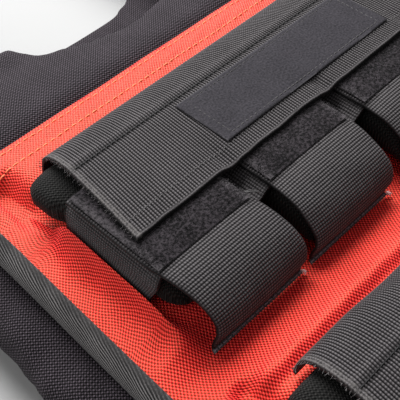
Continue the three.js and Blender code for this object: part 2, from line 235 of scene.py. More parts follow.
def section_curve(rows, shares):
    """Points at shares of a smooth curve's length, their left-hand normals, and the length."""
    rows = np.array(rows, float)
    chord = lengths_along(rows)
    fine = np.linspace(0, chord[-1], 1500)
    curve = np.stack([smooth(list(zip(chord, rows[:, k])), fine) for k in (0, 1)], axis=1)
    run = lengths_along(curve)
    places = np.asarray(shares) * run[-1]
    tangents = at_places(places, run, np.gradient(curve, axis=0))
    tangents /= np.linalg.norm(tangents, axis=1, keepdims=True)
    normals = np.stack([-tangents[:, 1], tangents[:, 0]], axis=1)
    return at_places(places, run, curve), normals, run[-1]


def section_length(rows):
    return section_curve(rows, [0, 1])[2]


def ripple(seed, wave, *coordinates):
    """Gentle unevenness between about -1 and 1, the same on each run."""
    rng = np.random.default_rng(seed)
    waves, usual_peak = 5, 3
    total = 0
    for _ in range(waves):
        turns = rng.normal(size=len(coordinates)) / wave
        phase = rng.uniform(0, 2 * math.pi)
        total = total + np.sin(2 * math.pi * sum(t * c for t, c in zip(turns, coordinates)) + phase)
    return total / usual_peak


# Meshes

def grid_faces(index):
    a, b = index[:-1, :-1], index[1:, :-1]
    c, d = index[1:, 1:], index[:-1, 1:]
    return np.stack([a, b, c, d], axis=-1).reshape(-1, 4).tolist()


def strip_faces(fine, coarse):
    """Faces between a fine edge and a coarse one."""
    stride = (len(fine) - 1) // (len(coarse) - 1)
    faces = []
    for k in range(len(coarse) - 1):
        run = fine[k * stride:(k + 1) * stride + 1]
        faces.append([*run.tolist(), int(coarse[k + 1]), int(coarse[k])])
    return faces


def volume(points, faces):
    """Six times the volume that the faces enclose, below 0 if they point in."""
    first = np.array([face[0] for face in faces for _ in face[2:]])
    second = np.array([v for face in faces for v in face[1:-1]])
    third = np.array([v for face in faces for v in face[2:]])
    return np.einsum("ij,ij->i", points[first], np.cross(points[second], points[third])).sum()


def give_uv(mesh, uv):
    corners = np.zeros(len(mesh.loops), int)
    mesh.loops.foreach_get("vertex_index", corners)
    layer = mesh.uv_layers.new(name="cloth")
    layer.data.foreach_set("uv", (np.asarray(uv, float)[corners] * MM).ravel())


def new_object(name, data):
    obj = bpy.data.objects.new(name, data)
    bpy.context.scene.collection.objects.link(obj)
    return obj


def mesh_object(name, points, faces, uv, values):
    """Object from points in millimetres: faces out, a UV map in metres and values at its points."""
    points = np.asarray(points, float)
    if volume(points, faces) < 0:
        faces = [face[::-1] for face in faces]
    mesh = bpy.data.meshes.new(name)
    mesh.from_pydata((points * MM).tolist(), [], faces)
    give_uv(mesh, uv)
    for key, numbers in values.items():
        attribute = mesh.attributes.new(key, "FLOAT", "POINT")
        attribute.data.foreach_set("value", np.asarray(numbers, float).ravel())
    mesh.polygons.foreach_set("use_smooth", [True] * len(mesh.polygons))
    mesh.set_sharp_from_angle(angle=math.radians(70))
    return new_object(name, mesh)


def slab(name, top, under, top_uv, top_values=None, under_values=None):
    """Closed cloth between a grid of points and a grid under it, which may have fewer rows."""
    stride = (top.shape[0] - 1) // (under.shape[0] - 1)
    upper = np.arange(top[..., 0].size).reshape(top.shape[:2])
    lower = np.arange(under[..., 0].size).reshape(under.shape[:2]) + upper.size
    faces = grid_faces(upper) + grid_faces(lower[::-1])
    faces += strip_faces(upper[::-1, 0], lower[::-1, 0]) + strip_faces(upper[:, -1], lower[:, -1])
    faces += grid_faces(np.stack([lower[0], upper[0]])) + grid_faces(np.stack([upper[-1], lower[-1]]))
    points = np.concatenate([top.reshape(-1, 3), under.reshape(-1, 3)])
    uv = np.concatenate([top_uv.reshape(-1, 2), top_uv[::stride].reshape(-1, 2)])
    values = {}
    for key, grid in (top_values or {}).items():
        low = np.full(lower.size, (under_values or {}).get(key, 0.0))
        values[key] = np.concatenate([np.broadcast_to(grid, upper.shape).ravel(), low])
    return mesh_object(name, points, faces, uv, values)


def tubes(paths, radii, sides):
    """Points and faces of closed tubes, one for each row of points and radii."""
    count, rings = paths.shape[:2]
    tangents = np.gradient(paths, axis=1)
    tangents /= np.linalg.norm(tangents, axis=2, keepdims=True)
    helper = np.where(np.abs(tangents[..., 2:]) > 0.9, [1.0, 0, 0], UP)
    across = np.cross(tangents, helper)
    across /= np.linalg.norm(across, axis=2, keepdims=True)
    over = np.cross(across, tangents)
    angles = np.arange(sides) * 2 * math.pi / sides
    turn = across[:, :, None] * np.cos(angles)[:, None] + over[:, :, None] * np.sin(angles)[:, None]
    points = paths[:, :, None] + turn * radii[..., None, None]
    index = np.arange(count * rings * sides).reshape(count, rings, sides)
    wrapped = np.concatenate([index, index[:, :, :1]], axis=2)
    faces = []
    for tube in wrapped:
        faces += grid_faces(tube)
        faces += [tube[0, :-1].tolist(), tube[-1, -2::-1].tolist()]
    return points.reshape(-1, 3), faces


def strands(name, paths, radius, material, slot, sides=3, values=None):
    """One piece of many thin strands, each a little thinner at its ends."""
    taper = np.interp(np.linspace(0, 1, paths.shape[1]), [0, 0.3, 0.7, 1], [0.7, 1, 1, 0.5])
    points, faces = tubes(paths, np.broadcast_to(radius * taper, paths.shape[:2]), sides)
    filled = {key: np.full(len(points), value) for key, value in (values or {}).items()}
    place(mesh_object(name, points, faces, points[:, :2], filled), material, slot)


def stitches(name, path, normals, material, slot, pitch, radius, sink):
    """Thread along a path: a row of short arched stitches."""
    share, arch = 0.78, 0.9
    run = lengths_along(path)
    count = max(int(run[-1] // pitch), 1)
    starts = (np.arange(count) + 0.5 * (1 - share)) * run[-1] / count
    t = np.linspace(0, 1, 5)
    places = starts[:, None] + t[None] * share * run[-1] / count
    spine = at_places(places, run, path)
    lift = at_places(places, run, np.broadcast_to(normals, path.shape))
    spine = spine + lift * (np.sin(math.pi * t) * radius * arch - sink)[None, :, None]
    strands(name, spine, radius, material, slot, sides=5)


def place(obj, material, slot, *nodes):
    """Give a piece its material and its body, and hide the nodes that it stands for. The slot is not used.
    """
    obj.data.materials.append(material)
    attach(obj, BODY)
    if nodes:
        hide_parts(*nodes)


# Material graphs

class Graph:
    """A material's nodes, with short calls for those used here."""

    def __init__(self, name, roughness, sheen=0.0, sheen_roughness=0.5, specular=0.3):
        self.material = bpy.data.materials.new(name)
        self.material.use_nodes = True
        self.tree = self.material.node_tree
        self.shader = self.tree.nodes["Principled BSDF"]
        levels = {"Roughness": roughness, "Sheen Weight": sheen, "Sheen Roughness": sheen_roughness,
                  "Specular IOR Level": specular}
        for key, level in levels.items():
            self.shader.inputs[key].default_value = level

    def node(self, kind, inputs=(), **settings):
        made = self.tree.nodes.new(kind)
        for key, value in settings.items():
            setattr(made, key, value)
        for key, value in dict(inputs).items():
            self.feed(made.inputs[key], value)
        return made

    def feed(self, socket, value):
        if isinstance(value, bpy.types.NodeSocket):
            self.tree.links.new(value, socket)
        else:
            socket.default_value = value

    def math(self, operation, *values):
        return self.node("ShaderNodeMath", dict(enumerate(values)), operation=operation).outputs[0]

    def sum(self, first, *terms):
        """A value plus each (value, gain) term, where the value swings about a half."""
        total = first
        for value, gain in terms:
            total = self.math("ADD", total, self.math("MULTIPLY_ADD", value, gain, -0.5 * gain))
        return total

    def uv(self):
        """The cloth's own coordinates, u and v in millimetres."""
        flat = self.node("ShaderNodeUVMap", uv_map="cloth").outputs[0]
        large = self.node("ShaderNodeVectorMath", {0: flat, 1: (1 / MM,) * 3}, operation="MULTIPLY")
        parts = self.node("ShaderNodeSeparateXYZ", {0: large.outputs[0]})
        return large.outputs[0], parts.outputs[0], parts.outputs[1]

    def value(self, name):
        return self.node("ShaderNodeAttribute", attribute_name=name).outputs["Fac"]

    def noise(self, vector, scale, detail=2.0, roughness=0.5):
        inputs = {"Vector": vector, "Scale": scale, "Detail": detail, "Roughness": roughness}
        return self.node("ShaderNodeTexNoise", inputs).outputs["Fac"]

    def wave(self, place_along, pitch):
        """Sine wave from -1 to 1 along a coordinate."""
        return self.math("SINE", self.math("MULTIPLY", place_along, 2 * math.pi / pitch))

    def stripe(self, place_along, pitch):
        """Sine wave from 0 to 1 along a coordinate."""
        return self.math("MULTIPLY_ADD", self.wave(place_along, pitch), 0.5, 0.5)

    def ramp(self, value, *stops):
        made = self.node("ShaderNodeValToRGB", {0: value})
        elements = made.color_ramp.elements
        while len(elements) < len(stops):
            elements.new(0.5)
        for element, (position, color) in zip(elements, stops):
            element.position = position
            element.color = (*color, 1)
        return made.outputs[0]

    def mask(self, value, low, high):
        """0 below one value and 1 above another."""
        return self.ramp(value, (low, (0, 0, 0)), (high, (1, 1, 1)))

    def mix(self, factor, first, second):
        made = self.node("ShaderNodeMix", data_type="RGBA")
        colors = [socket for socket in made.inputs if socket.type == "RGBA"]
        self.feed(made.inputs["Factor"], factor)
        self.feed(colors[0], first)
        self.feed(colors[1], (*second, 1))
        return next(socket for socket in made.outputs if socket.type == "RGBA")

    def bump(self, height, distance, strength):
        inputs = {"Height": height, "Distance": distance * MM, "Strength": strength}
        return self.node("ShaderNodeBump", inputs).outputs[0]

    def finish(self, color, normal=None):
        self.feed(self.shader.inputs["Base Color"], color)
        if normal is not None:
            self.feed(self.shader.inputs["Normal"], normal)
        return self.material


# Materials

def webbing_material(name, dark, middle, light, worn):
    """Ribbed nylon: pale yarn along each rib, painted shade in the grooves between ribs, and a fuzzy cut
    end.
    """
    graph = Graph(name, roughness=0.65, sheen=0.05, sheen_roughness=0.4, specular=0.15)
    vector, _, v = graph.uv()
    wander = graph.math("MULTIPLY", graph.noise(vector, 0.18), 1.4)
    bead = graph.stripe(graph.math("ADD", v, wander), BEAD_PITCH)
    crest = graph.math("MULTIPLY", graph.value("rib"), graph.math("MULTIPLY_ADD", bead, 0.55, 0.55))
    fibre = graph.noise(vector, 1.6)
    broken = graph.noise(vector, 0.55, 3)
    patchy = graph.noise(vector, 0.05, 3)
    shade = graph.sum(crest, (fibre, 0.3), (broken, 0.3), (patchy, 0.25))
    # The rib value paints shade: low in the grooves between ribs, high on their crests.
    color = graph.ramp(shade, (0.18, dark), (0.55, middle), (0.98, light))
    frayed = graph.mask(graph.noise(vector, 0.8, 4, 0.75), 0.42, 0.58)
    color = graph.mix(graph.math("MULTIPLY", graph.value("cut"), frayed), color, worn)
    return graph.finish(color, graph.bump(graph.sum(crest, (fibre, 0.8)), 0.16, 0.8))


def weave_material(name, pitches, colors, roughness=0.75, specular=0.1, gloss=(1, 1, 1), depth=0.2, lines=0):
    """Plain weave with uneven dye and a tinted gloss. Lines bring out the yarns along u."""
    graph = Graph(name, roughness, sheen=0.03, sheen_roughness=0.4, specular=specular)
    graph.shader.inputs["Specular Tint"].default_value = (*gloss, 1)
    vector, u, v = graph.uv()
    wander = graph.math("MULTIPLY_ADD", graph.noise(vector, 0.2), 0.2, -0.1)
    across = graph.wave(graph.math("ADD", u, wander), pitches[0])
    along = graph.wave(graph.math("ADD", v, wander), pitches[1])
    yarn = graph.math("MULTIPLY_ADD", along, lines, graph.math("MULTIPLY", across, along))
    fibre = graph.noise(vector, 1.4)
    patchy = graph.noise(vector, 0.06, 3)
    raised = graph.math("MULTIPLY_ADD", yarn, 0.5 / (1 + lines), 0.5)
    dark, middle, light = colors
    shade = graph.sum(raised, (fibre, 0.3), (patchy, 0.2))
    color = graph.ramp(shade, (0.2, dark), (0.5, middle), (0.8, light))
    return graph.finish(color, graph.bump(graph.math("ADD", yarn, fibre), depth, 0.9))


def fuzzy_material(name, dark, light, rim_color):
    """Loop fastener: a mat of fine curled fibres, paler along its two sides."""
    graph = Graph(name, roughness=0.95, sheen=0.05, sheen_roughness=0.6, specular=0.05)
    vector, _, _ = graph.uv()
    tuft = graph.noise(vector, 0.75, 3, 0.7)
    patchy = graph.noise(vector, 0.1, 3)
    color = graph.ramp(graph.sum(tuft, (patchy, 0.3)), (0.42, dark), (0.6, light))
    rim = graph.math("MULTIPLY", graph.value("rim"), graph.mask(tuft, 0.3, 0.6))
    return graph.finish(graph.mix(rim, color, rim_color), graph.bump(tuft, 0.55, 1.0))


def tape_material(name, dark, middle, light):
    """Binding tape with ribs that run slanting along it; towards its outer edge the ribs are deeper and
    their tops painted paler, a painted highlight, so it is plainer near its inner edge.
    """
    graph = Graph(name, roughness=0.8, sheen=0.05, specular=0.1)
    vector, u, v = graph.uv()
    along_u = graph.math("MULTIPLY", u, math.cos(TAPE_RIB_SLANT))
    slanting = graph.math("MULTIPLY_ADD", v, math.sin(TAPE_RIB_SLANT), along_u)
    wander = graph.math("MULTIPLY", graph.noise(vector, 0.12), 1.2)
    rib = graph.stripe(graph.math("ADD", slanting, wander), TAPE_RIB_PITCH)
    fibre = graph.noise(vector, 1.3, 3)
    patchy = graph.noise(vector, 0.07, 3)
    # Painted highlight: the ribs' tops grow paler towards the tape's outer edge.
    strength = graph.math("MULTIPLY_ADD", graph.value("outer"), 0.75, 0.15)
    shade = graph.math("MULTIPLY_ADD", graph.math("SUBTRACT", rib, 0.45), strength, 0.36)
    shade = graph.sum(shade, (fibre, 0.4), (patchy, 0.25))
    color = graph.ramp(shade, (0.08, dark), (0.4, middle), (0.85, light))
    height = graph.sum(graph.math("MULTIPLY", rib, strength), (fibre, 0.6))
    return graph.finish(color, graph.bump(height, 0.3, 0.9))


def satin_material(name, dark, light, rim_color):
    """Bare satin of the label: a fine twill, a little paler at its rim."""
    graph = Graph(name, roughness=0.75, sheen=0.02, specular=0.06)
    vector, u, v = graph.uv()
    twill = graph.stripe(graph.math("ADD", u, v), TWILL_PITCH)
    patchy = graph.noise(vector, 0.07, 3)
    fibre = graph.noise(vector, 1.1, 3)
    shade = graph.sum(fibre, (twill, 0.15), (patchy, 0.25))
    color = graph.ramp(shade, (0.25, dark), (0.75, light))
    color = graph.mix(graph.math("MULTIPLY", graph.value("rim"), fibre), color, rim_color)
    return graph.finish(color, graph.bump(graph.sum(twill, (fibre, 0.8)), 0.05, 0.6))


def thread_material(name, dark, light):
    graph = Graph(name, roughness=0.6, sheen=0.05, specular=0.2)
    vector, u, v = graph.uv()
    ply = graph.stripe(graph.math("ADD", u, v), PLY_PITCH)
    shade = graph.sum(ply, (graph.noise(vector, 2.2), 0.8))
    return graph.finish(graph.ramp(shade, (0.1, dark), (0.9, light)), graph.bump(ply, 0.06, 0.7))


def floor_material():
    graph = Graph("floor", roughness=0.9)
    coordinates = graph.node("ShaderNodeTexCoord").outputs["Object"]
    mottle = graph.noise(coordinates, 3.0, 3)
    return graph.finish(graph.ramp(mottle, (0.3, (0.35, 0.35, 0.35)), (0.7, (0.37, 0.37, 0.3675))))


BLACK_WEBBING = webbing_material("webbing", dark=(0.003, 0.0026, 0.0028), middle=(0.032, 0.0285, 0.03),
                                 light=(0.1, 0.092, 0.095), worn=(0.09, 0.083, 0.081))
RED_CLOTH = weave_material("red_weave", RED_WEAVE, roughness=0.5, specular=0.46, gloss=(1, 0.55, 0.21),
                           depth=0.13, colors=(
    (0.11, 0.0003, 0.003), (0.54, 0.005, 0.011), (1.0, 0.07, 0.06)))
BLACK_CLOTH = weave_material("black_cloth", OXFORD_WEAVE, lines=0.35, colors=(
    (0.0006, 0.0004, 0.0006), (0.0105, 0.008, 0.0102), (0.076, 0.062, 0.074)))
WEIGHT_COVER = weave_material("weight_cover", COVER_WEAVE, lines=0.5, colors=(
    (0.001, 0.001, 0.001), (0.007, 0.0068, 0.0064), (0.022, 0.021, 0.02)))
FASTENER = fuzzy_material("fastener", dark=(0.0015, 0.0012, 0.0015), light=(0.029, 0.0245, 0.028),
                          rim_color=(0.06, 0.054, 0.058))
EDGE_TAPE = tape_material("edge_tape", dark=(0.007, 0.007, 0.007), middle=(0.05, 0.047, 0.047),
                          light=(0.25, 0.235, 0.235))
LABEL_SATIN = satin_material("label_satin", dark=(0.009, 0.0085, 0.0105), light=(0.041, 0.0375, 0.044),
                             rim_color=(0.075, 0.072, 0.078))
RED_THREAD = thread_material("red_thread", (0.85, 0.11, 0.045), (1.0, 0.3, 0.14))
BLACK_THREAD = thread_material("black_thread", (0.002, 0.002, 0.0022), (0.014, 0.014, 0.015))
GREY_THREAD = thread_material("grey_thread", (0.024, 0.023, 0.024), (0.095, 0.09, 0.09))
HEM_THREAD = thread_material("hem_thread", (0.05, 0.05, 0.062), (0.24, 0.24, 0.28))
PALE_THREAD = thread_material("pale_thread", (0.45, 0.16, 0.15), (0.75, 0.5, 0.48))


# Shapes shared by several pieces

def half_width(y):
    return smooth(OUTLINE, y)


def pocket_x(column):
    return (column - 2.5) * POCKET_PITCH


def piece_seed(row, column, first):
    return first + column + (10 if row == "lower" else 0)


def rib_profile(count):
    """Height shares across some ribs, each with a round top and a narrow groove."""
    phase = np.arange(count * RIB_SAMPLES + 1) / RIB_SAMPLES % 1
    return 1 - np.abs(2 * phase - 1) ** RIB_SHARPNESS


def gap_share(x):
    """1 in the middle of a gap between two pockets, 0 over the pockets."""
    nearest = np.min([np.abs(x - gap) for gap in (-POCKET_PITCH, 0, POCKET_PITCH)], axis=0)
    return np.cos(np.clip(nearest / GAP_HALF, 0, 1) * math.pi / 2) ** 2


# Red panel and its seams

def along_rows(y, stretch):
    """1 along a stretch of every row, 0 away from it."""
    begin, full, fade, end = stretch
    return sum(ease(begin, full, y - crease) * ease(end, fade, y - crease)
               for crease in ROWS.values())


def red_rows(rows):
    return RED_BETWEEN + [(crease + dy, z) for crease in ROWS.values() for dy, z in rows]


def red_ridge(x, y):
    """The margin beside the pockets: a hollow slope down to the binding, with folds."""
    start, edge = RED_SIDE["margin_start"], RED_SIDE["edge_height"]
    out = np.clip((np.abs(x) - start) / (half_width(y) - start), 0, 1)
    margin = smooth(red_rows(RED_MARGIN), y)
    standing = ease(*STANDING, margin)
    hollow = (2.6 + 2.4 * along_rows(y, BESIDE_LOOPS)) * standing
    rounded = 1.2 * near_edge(out, 0.1)
    folds = 0.7 * ripple(11, RED_FOLD_WAVE, x * 1.6, y) * np.sin(math.pi * out)
    return edge + (margin - edge) * (1 - out) ** (1 + hollow) + (folds - rounded) * standing


def red_height(x, y):
    """Top of the red panel: low under the pockets, with a ridge and a valley beside them."""
    aside, start = np.abs(x), RED_SIDE["margin_start"]
    dip = RED_DIP["depth"] * bell(ROWS["lower"] + RED_DIP["dy"], RED_DIP["width"], y)
    floor = smooth(red_rows(RED_FLOOR), y) - dip
    past_band = along_rows(y, PAST_BAND)
    beside = ease(RED_SIDE["floor_end"] - 9 * past_band, start + 0.8 + 4 * past_band, aside)
    folds = 0.4 * ripple(13, RED_FOLD_WAVE, x, y * 1.5) * ease(*PADDING, floor)
    level = floor + (red_ridge(x, y) - floor) * beside + folds * (1 - beside)
    valley = bell(start + RED_VALLEY["out"], RED_VALLEY["width"], aside) * along_rows(y, BESIDE_ROOT)
    return SEWN + np.maximum(level - RED_VALLEY["depth"] * valley, np.minimum(level, RED_VALLEY["lowest"]))


def red_panel():
    y = np.linspace(*RED_Y, 190)
    side = np.concatenate([np.linspace(0, 112, 40), [114.6, 115.9, 116.3, 116.7, 117.1, 117.5]])
    share = np.linspace(0.03, 1, 24)
    x = np.zeros((len(side) + len(share), len(y)))
    x[:len(side)] = side[:, None]
    x[len(side):] = side[-1] + (half_width(y) + RED_SIDE["tucked"] - side[-1]) * share[:, None]
    x = np.concatenate([-x[:0:-1], x])
    top = xyz(x, y, red_height(x, y))
    under = top[::3].copy()
    under[..., 2] = RED_BOTTOM
    steps = np.linalg.norm(np.diff(top[..., [0, 2]], axis=0), axis=-1)
    u = np.concatenate([np.zeros((1, len(y))), np.cumsum(steps, axis=0)])
    u -= u[len(u) // 2]
    obj = slab("red_panel_cloth", top, under, xyz(u, y))
    place(obj, RED_CLOTH, "red_weave", "red_panel")


def red_stitches():
    x = np.linspace(-127, 127, 500)
    for number, inset in enumerate(RED_SEAM_INSETS):
        y = RED_Y[1] - inset + 0.25 * ripple(20 + number, 60, x)
        path = xyz(x, y, red_height(x, y))
        stitches(f"red_stitches_{number + 1}", path, UP, RED_THREAD, "red_weave",
                 pitch=4.0, radius=0.4, sink=0.2)


# Webbing flaps

def flap_half(dy):
    return FLAP["crease_half"] - FLAP["flare"] * dy


def flap_offset(x, dy):
    """A flap dips into the gaps near its lower edge, and its face sags a little."""
    sag = 0.35 * (1 + ripple(31, 45, x)) / 2
    return -(1.1 * gap_share(x) + sag) * ease(-18, FLAP["lower"], dy)


def roll_shift(row, x, dy):
    """The lower flap's roll doesn't run quite straight."""
    if row == "upper":
        return np.zeros_like(x)
    bend = ROLL_START + sum(shift * ease(start, end, x) for shift, start, end in ROLL_BENDS)
    return bend * ease(4, 16, dy) * ease(27, 20, dy)


def flap_points(row, across, section, normals):
    """Points of a flap's face, and directions out of it."""
    dy = section[:, 0]
    xs = across[:, None] * flap_half(dy)
    waver = 0.45 * ripple(32, 50, xs) * ease(-25, FLAP["lower"], dy) + roll_shift(row, xs, dy)
    base = xyz(xs, ROWS[row] + dy + waver, SEWN + section[:, 1] + flap_offset(xs, dy))
    out = np.zeros_like(base)
    out[..., 1:] = normals[None]
    return base, out


def flap(row):
    ribs = round(2 * FLAP["crease_half"] / RIB_PITCH)
    length = section_length(FLAP_SECTION)
    edge_places, edge_shades = np.array(SELVEDGE_AND_EDGE_SHADE).T
    from_edge = np.concatenate([np.linspace(length, FACE_END, 42), edge_places[::-1]])
    section, normals, _ = section_curve(FLAP_SECTION, 1 - from_edge / length)
    normals = -normals
    across = np.linspace(-1, 1, ribs * RIB_SAMPLES + 1)
    base, out = flap_points(row, across, section, normals)
    dy = section[:, 0]
    rib = rib_profile(ribs)[:, None]
    to_end = flap_half(dy) * (1 - np.abs(across))[:, None]
    cut = 1 - ease(*CUT_RANGE, to_end)
    bound = ease(edge_places[-1], edge_places[-2], from_edge)
    dark_line = bell(*CREASE_LINE, dy)
    ridge = bell(*CREASE_RIDGE, dy)
    rounded = 0.55 * near_edge(from_edge, EDGE_ROUND) + 0.5 * near_edge(to_end, EDGE_ROUND)
    groove = RIB_DEPTH * (1 - rib) * (1 - 0.6 * bound) * (1 - 0.5 * cut) + 0.55 * dark_line
    top = base + out * (0.35 * ridge - groove - rounded)[..., None]
    coarse, coarse_out = flap_points(row, across[::RIB_SAMPLES], section, normals)
    under = coarse - coarse_out * FLAP["thickness"]
    uv = xyz(((across + 1) * FLAP["crease_half"])[:, None], length - from_edge)
    selvedge_and_shade = np.interp(from_edge, edge_places, edge_shades)
    # Painted shade in the crease's fold and a painted highlight on the ridge beside it; near the lower edge
    # the pale selvedge line and painted shade where the edge turns under take over.
    shade = (rib + 0.2 * ridge) * (1 - 0.8 * dark_line) * (1 - bound) + selvedge_and_shade * bound
    # Painted shade on the last rim of each cut end, where the end turns away.
    shade = shade * (1 - 0.85 * np.clip(1 - to_end / CUT_RIM, 0, 1))
    values = {"rib": shade, "cut": cut * np.clip(to_end / CUT_RIM, 0.2, 1)}
    # The underside, and with it the thin side faces, is painted dark: painted shade.
    obj = slab(f"flap_{row}_webbing", top, under, uv, values, {"rib": 0.1})
    place(obj, BLACK_WEBBING, "webbing", f"flap_{row}")
    flap_seams(row, section, normals)
    frayed_ends(row, section, normals)


def flap_seams(row, section, normals):
    across = np.linspace(-0.98, 0.98, 600)
    for name, material in (("crease", BLACK_THREAD), ("lower", GREY_THREAD)):
        k = int(np.argmin(np.abs(section[:, 0] - FLAP_SEAMS[name])))
        base, out = flap_points(row, across, section[k:k + 1], normals[k:k + 1])
        stitches(f"flap_{row}_{name}_stitches", base[:, 0], out[:, 0], material, "webbing",
                 pitch=2.66, radius=0.27, sink=0.24)


def frayed_ends(row, section, normals):
    """Short loose fibres along a flap's two cut ends."""
    rng = np.random.default_rng(70 if row == "upper" else 71)
    count = 130
    rows = rng.integers(2, len(section) - 5, count)
    t = np.linspace(0, 1, 4)
    base, out = flap_points(row, np.array([-1.0, 1.0]), section, normals)
    for index, (word, side) in enumerate(SIDES.items()):
        root = base[index, rows] - out[index, rows] * rng.uniform(0.2, 1.0, count)[:, None]
        reach = rng.uniform(0.4, 1.7, count)
        bend = rng.normal(0, 0.7, (count, 3))
        straight = np.stack([side * reach, rng.normal(0, 0.35, count), rng.normal(0.1, 0.3, count)], axis=1)
        paths = root[:, None] + straight[:, None] * t[:, None] + bend[:, None] * (t ** 2 * 0.5)[:, None]
        strands(f"flap_{row}_{word}_hairs", paths, 0.075, BLACK_WEBBING, "webbing",
                values={"rib": 0.9, "cut": 0.8})


# Webbing loops

def loop_points(row, column, section, normals, across):
    """Points of a loop's face, pulled aside towards the hem, and directions out of it."""
    share = np.linspace(0, 1, len(section))[:, None]
    pull = np.interp(share, [0.86, 1], [FRONT_PULL[column], HEM_PULL[column]])
    x = pocket_x(column) + across * WEBBING / 2 + pull * ease(0.42, 0.84, share)
    uneven = 0.3 * ripple(piece_seed(row, column, 40), 30, x, share * 90)
    bulge = uneven * ease(0.5, 0.6, share) - 0.9 * np.abs(across) ** 4
    bulge = bulge * (1 - ease(0.93, 0.97, share))
    rounded = 0.5 * near_edge(1 - np.abs(across), LOOP_ROUND)
    base = xyz(x, ROWS[row] + section[:, :1], SEWN + section[:, 1:])
    out = np.zeros_like(base)
    out[..., 1:] = normals[:, None]
    return base + out * (bulge - rounded)[..., None], out


def loop(row, column):
    ribs = round(section_length(LOOP_SECTION) / RIB_PITCH)
    share = np.linspace(0, 1, ribs * RIB_SAMPLES + 1)
    section, normals, length = section_curve(LOOP_SECTION, share)
    normals = -normals
    across = np.concatenate([-LOOP_HALF[::-1], LOOP_HALF])
    base, out = loop_points(row, column, section, normals, across)
    edge = np.clip(1 - (1 - np.abs(across)) / LOOP_ROUND, 0, 1)
    rib = rib_profile(ribs)[:, None] * (1 - edge) + 0.3 * edge
    lip = ease(*LOOP_LIP, share)[:, None]
    tuck = bell(*LOOP_TUCK, share)[:, None]
    top = base + out * (0.45 * RIB_DEPTH * (rib - 1) * (1 - lip))[..., None]
    thin = (1 - 0.45 * lip[::RIB_SAMPLES]) * (1 - 0.5 * edge)
    under = base[::RIB_SAMPLES] - out[::RIB_SAMPLES] * (WEBBING_THICKNESS * thin)[..., None]
    uv = xyz((share * length)[:, None], across * WEBBING / 2 + 30)
    # Painted shade: the grooves between ribs are darker.
    shade = (0.12 + 0.88 * rib) * (1 - lip) * (1 - 0.9 * tuck) + 0.75 * lip
    values = {"rib": shade, "cut": 0.6 * lip}
    # The underside, and with it the thin side faces, is painted dark: painted shade.
    obj = slab(f"loop_{row}_{column}_webbing", top, under, uv, values, {"rib": 0.05})
    place(obj, BLACK_WEBBING, "webbing", f"loop_{row}_{column}")
    hem_tack(row, column, base[-1, -1])
    stitches(f"hem_{row}_{column}_stitches", base[-5], out[-5], HEM_THREAD, "webbing",
             pitch=2.4, radius=0.32, sink=0.05)


def hem_tack(row, column, corner):
    """Small knot of pale thread at a loop's right hem corner."""
    rng = np.random.default_rng(piece_seed(row, column, 120))
    count = 9
    t = np.linspace(-1, 1, 6)
    turn = rng.uniform(0, math.pi, count)
    reach = rng.uniform(0.7, 1.25, count)
    centre = corner + [0.6, -0.1, 0.25] + rng.normal(0, 0.25, (count, 3)) * [1, 1, 0.3]
    arch = (1 - t ** 2) * 0.75
    paths = xyz(centre[:, :1] + np.outer(reach * np.cos(turn), t),
                centre[:, 1:2] + np.outer(reach * np.sin(turn), t), centre[:, 2:] + arch)
    strands(f"tack_{row}_{column}", paths, 0.33, PALE_THREAD, "webbing", sides=5)


def loose_thread():
    """Two thread ends left long at the lower right corner of the upper row's first patch."""
    start = np.array([-66.2, ROWS["upper"] - 54.5, SEWN + 29.6])
    t = np.linspace(0, 1, 12)
    for number, (end, sway) in enumerate((((-60.6, -59.2, 27.4), 0.9), ((-61.8, -57.6, 28.4), -0.8))):
        goal = np.array([end[0], ROWS["upper"] + end[1], SEWN + end[2]])
        path = start + (goal - start) * t[:, None]
        path[:, 1] += sway * np.sin(math.pi * t)
        path[:, 2] += 0.8 * np.sin(math.pi * t)
        strands(f"loose_thread_{number + 1}", path[None], 0.26, GREY_THREAD, "fastener", sides=6)


# Webbing bands

def band_section():
    """Up from a band's left foot, over pockets and gaps, and down to its right foot."""
    over = []
    for column in COLUMNS:
        x = pocket_x(column)
        over += [(x + step * BAND["flat_half"], BAND["top"]) for step in (-1, 0, 1)]
        if column < COLUMNS[-1]:
            over += [(x + WEBBING / 2, BAND["gap_edge"]), (x + POCKET_PITCH / 2, BAND["gap"]),
                     (x + POCKET_PITCH - WEBBING / 2, BAND["gap_edge"])]
    return BAND_END + over + [(-x, z) for x, z in reversed(BAND_END)]


def band(row):
    rows = band_section()
    ribs = round(section_length(rows) / RIB_PITCH)
    section, normals, length = section_curve(rows, np.linspace(0, 1, ribs * RIB_SAMPLES + 1))
    dy = np.array([BAND["lower"], BAND["lower"] + 1.2, -45, -32, -20, BAND["upper"] - 1.2, BAND["upper"]])
    at_foot = ease(20, BAND_END[0][1], section[:, 1:])
    from_upper = (BAND["upper"] - dy) / (BAND["upper"] - BAND["lower"])
    dys = dy + BAND["slant"] * at_foot * from_upper
    base = xyz(section[:, :1], ROWS[row] + dys, SEWN + section[:, 1:])
    out = np.zeros_like(base)
    out[..., 0] = normals[:, :1]
    out[..., 2] = normals[:, 1:]
    face = np.array([0, 1, 1, 1, 1, 1, 0.0])
    rib = rib_profile(ribs)[:, None]
    top = base + out * (0.8 * RIB_DEPTH * (rib - 1) * face)[..., None]
    under = (base - out * WEBBING_THICKNESS)[::RIB_SAMPLES]
    uv = xyz(np.linspace(0, length, len(section))[:, None], dy)
    # Painted shade: the grooves between ribs are darker, less so on the band.
    values = {"rib": 0.45 + 0.45 * rib * face, "cut": 0.0}
    # The underside, and with it the thin side faces, is painted dark: painted shade.
    obj = slab(f"band_{row}_webbing", top, under, uv, values, {"rib": 0.2})
    place(obj, BLACK_WEBBING, "webbing", f"band_{row}")


# Fastener patches

def patch_drop(x, dy):
    """A patch lies lower at its sides, as its loop does, and thins out at its lower edge."""
    thin = 1.05 * np.clip(1 - (dy - PATCH["lower"]) / 6, 0, 1) ** 1.5
    return -0.55 * np.abs(2 * x / PATCH["width"]) ** 4 - thin


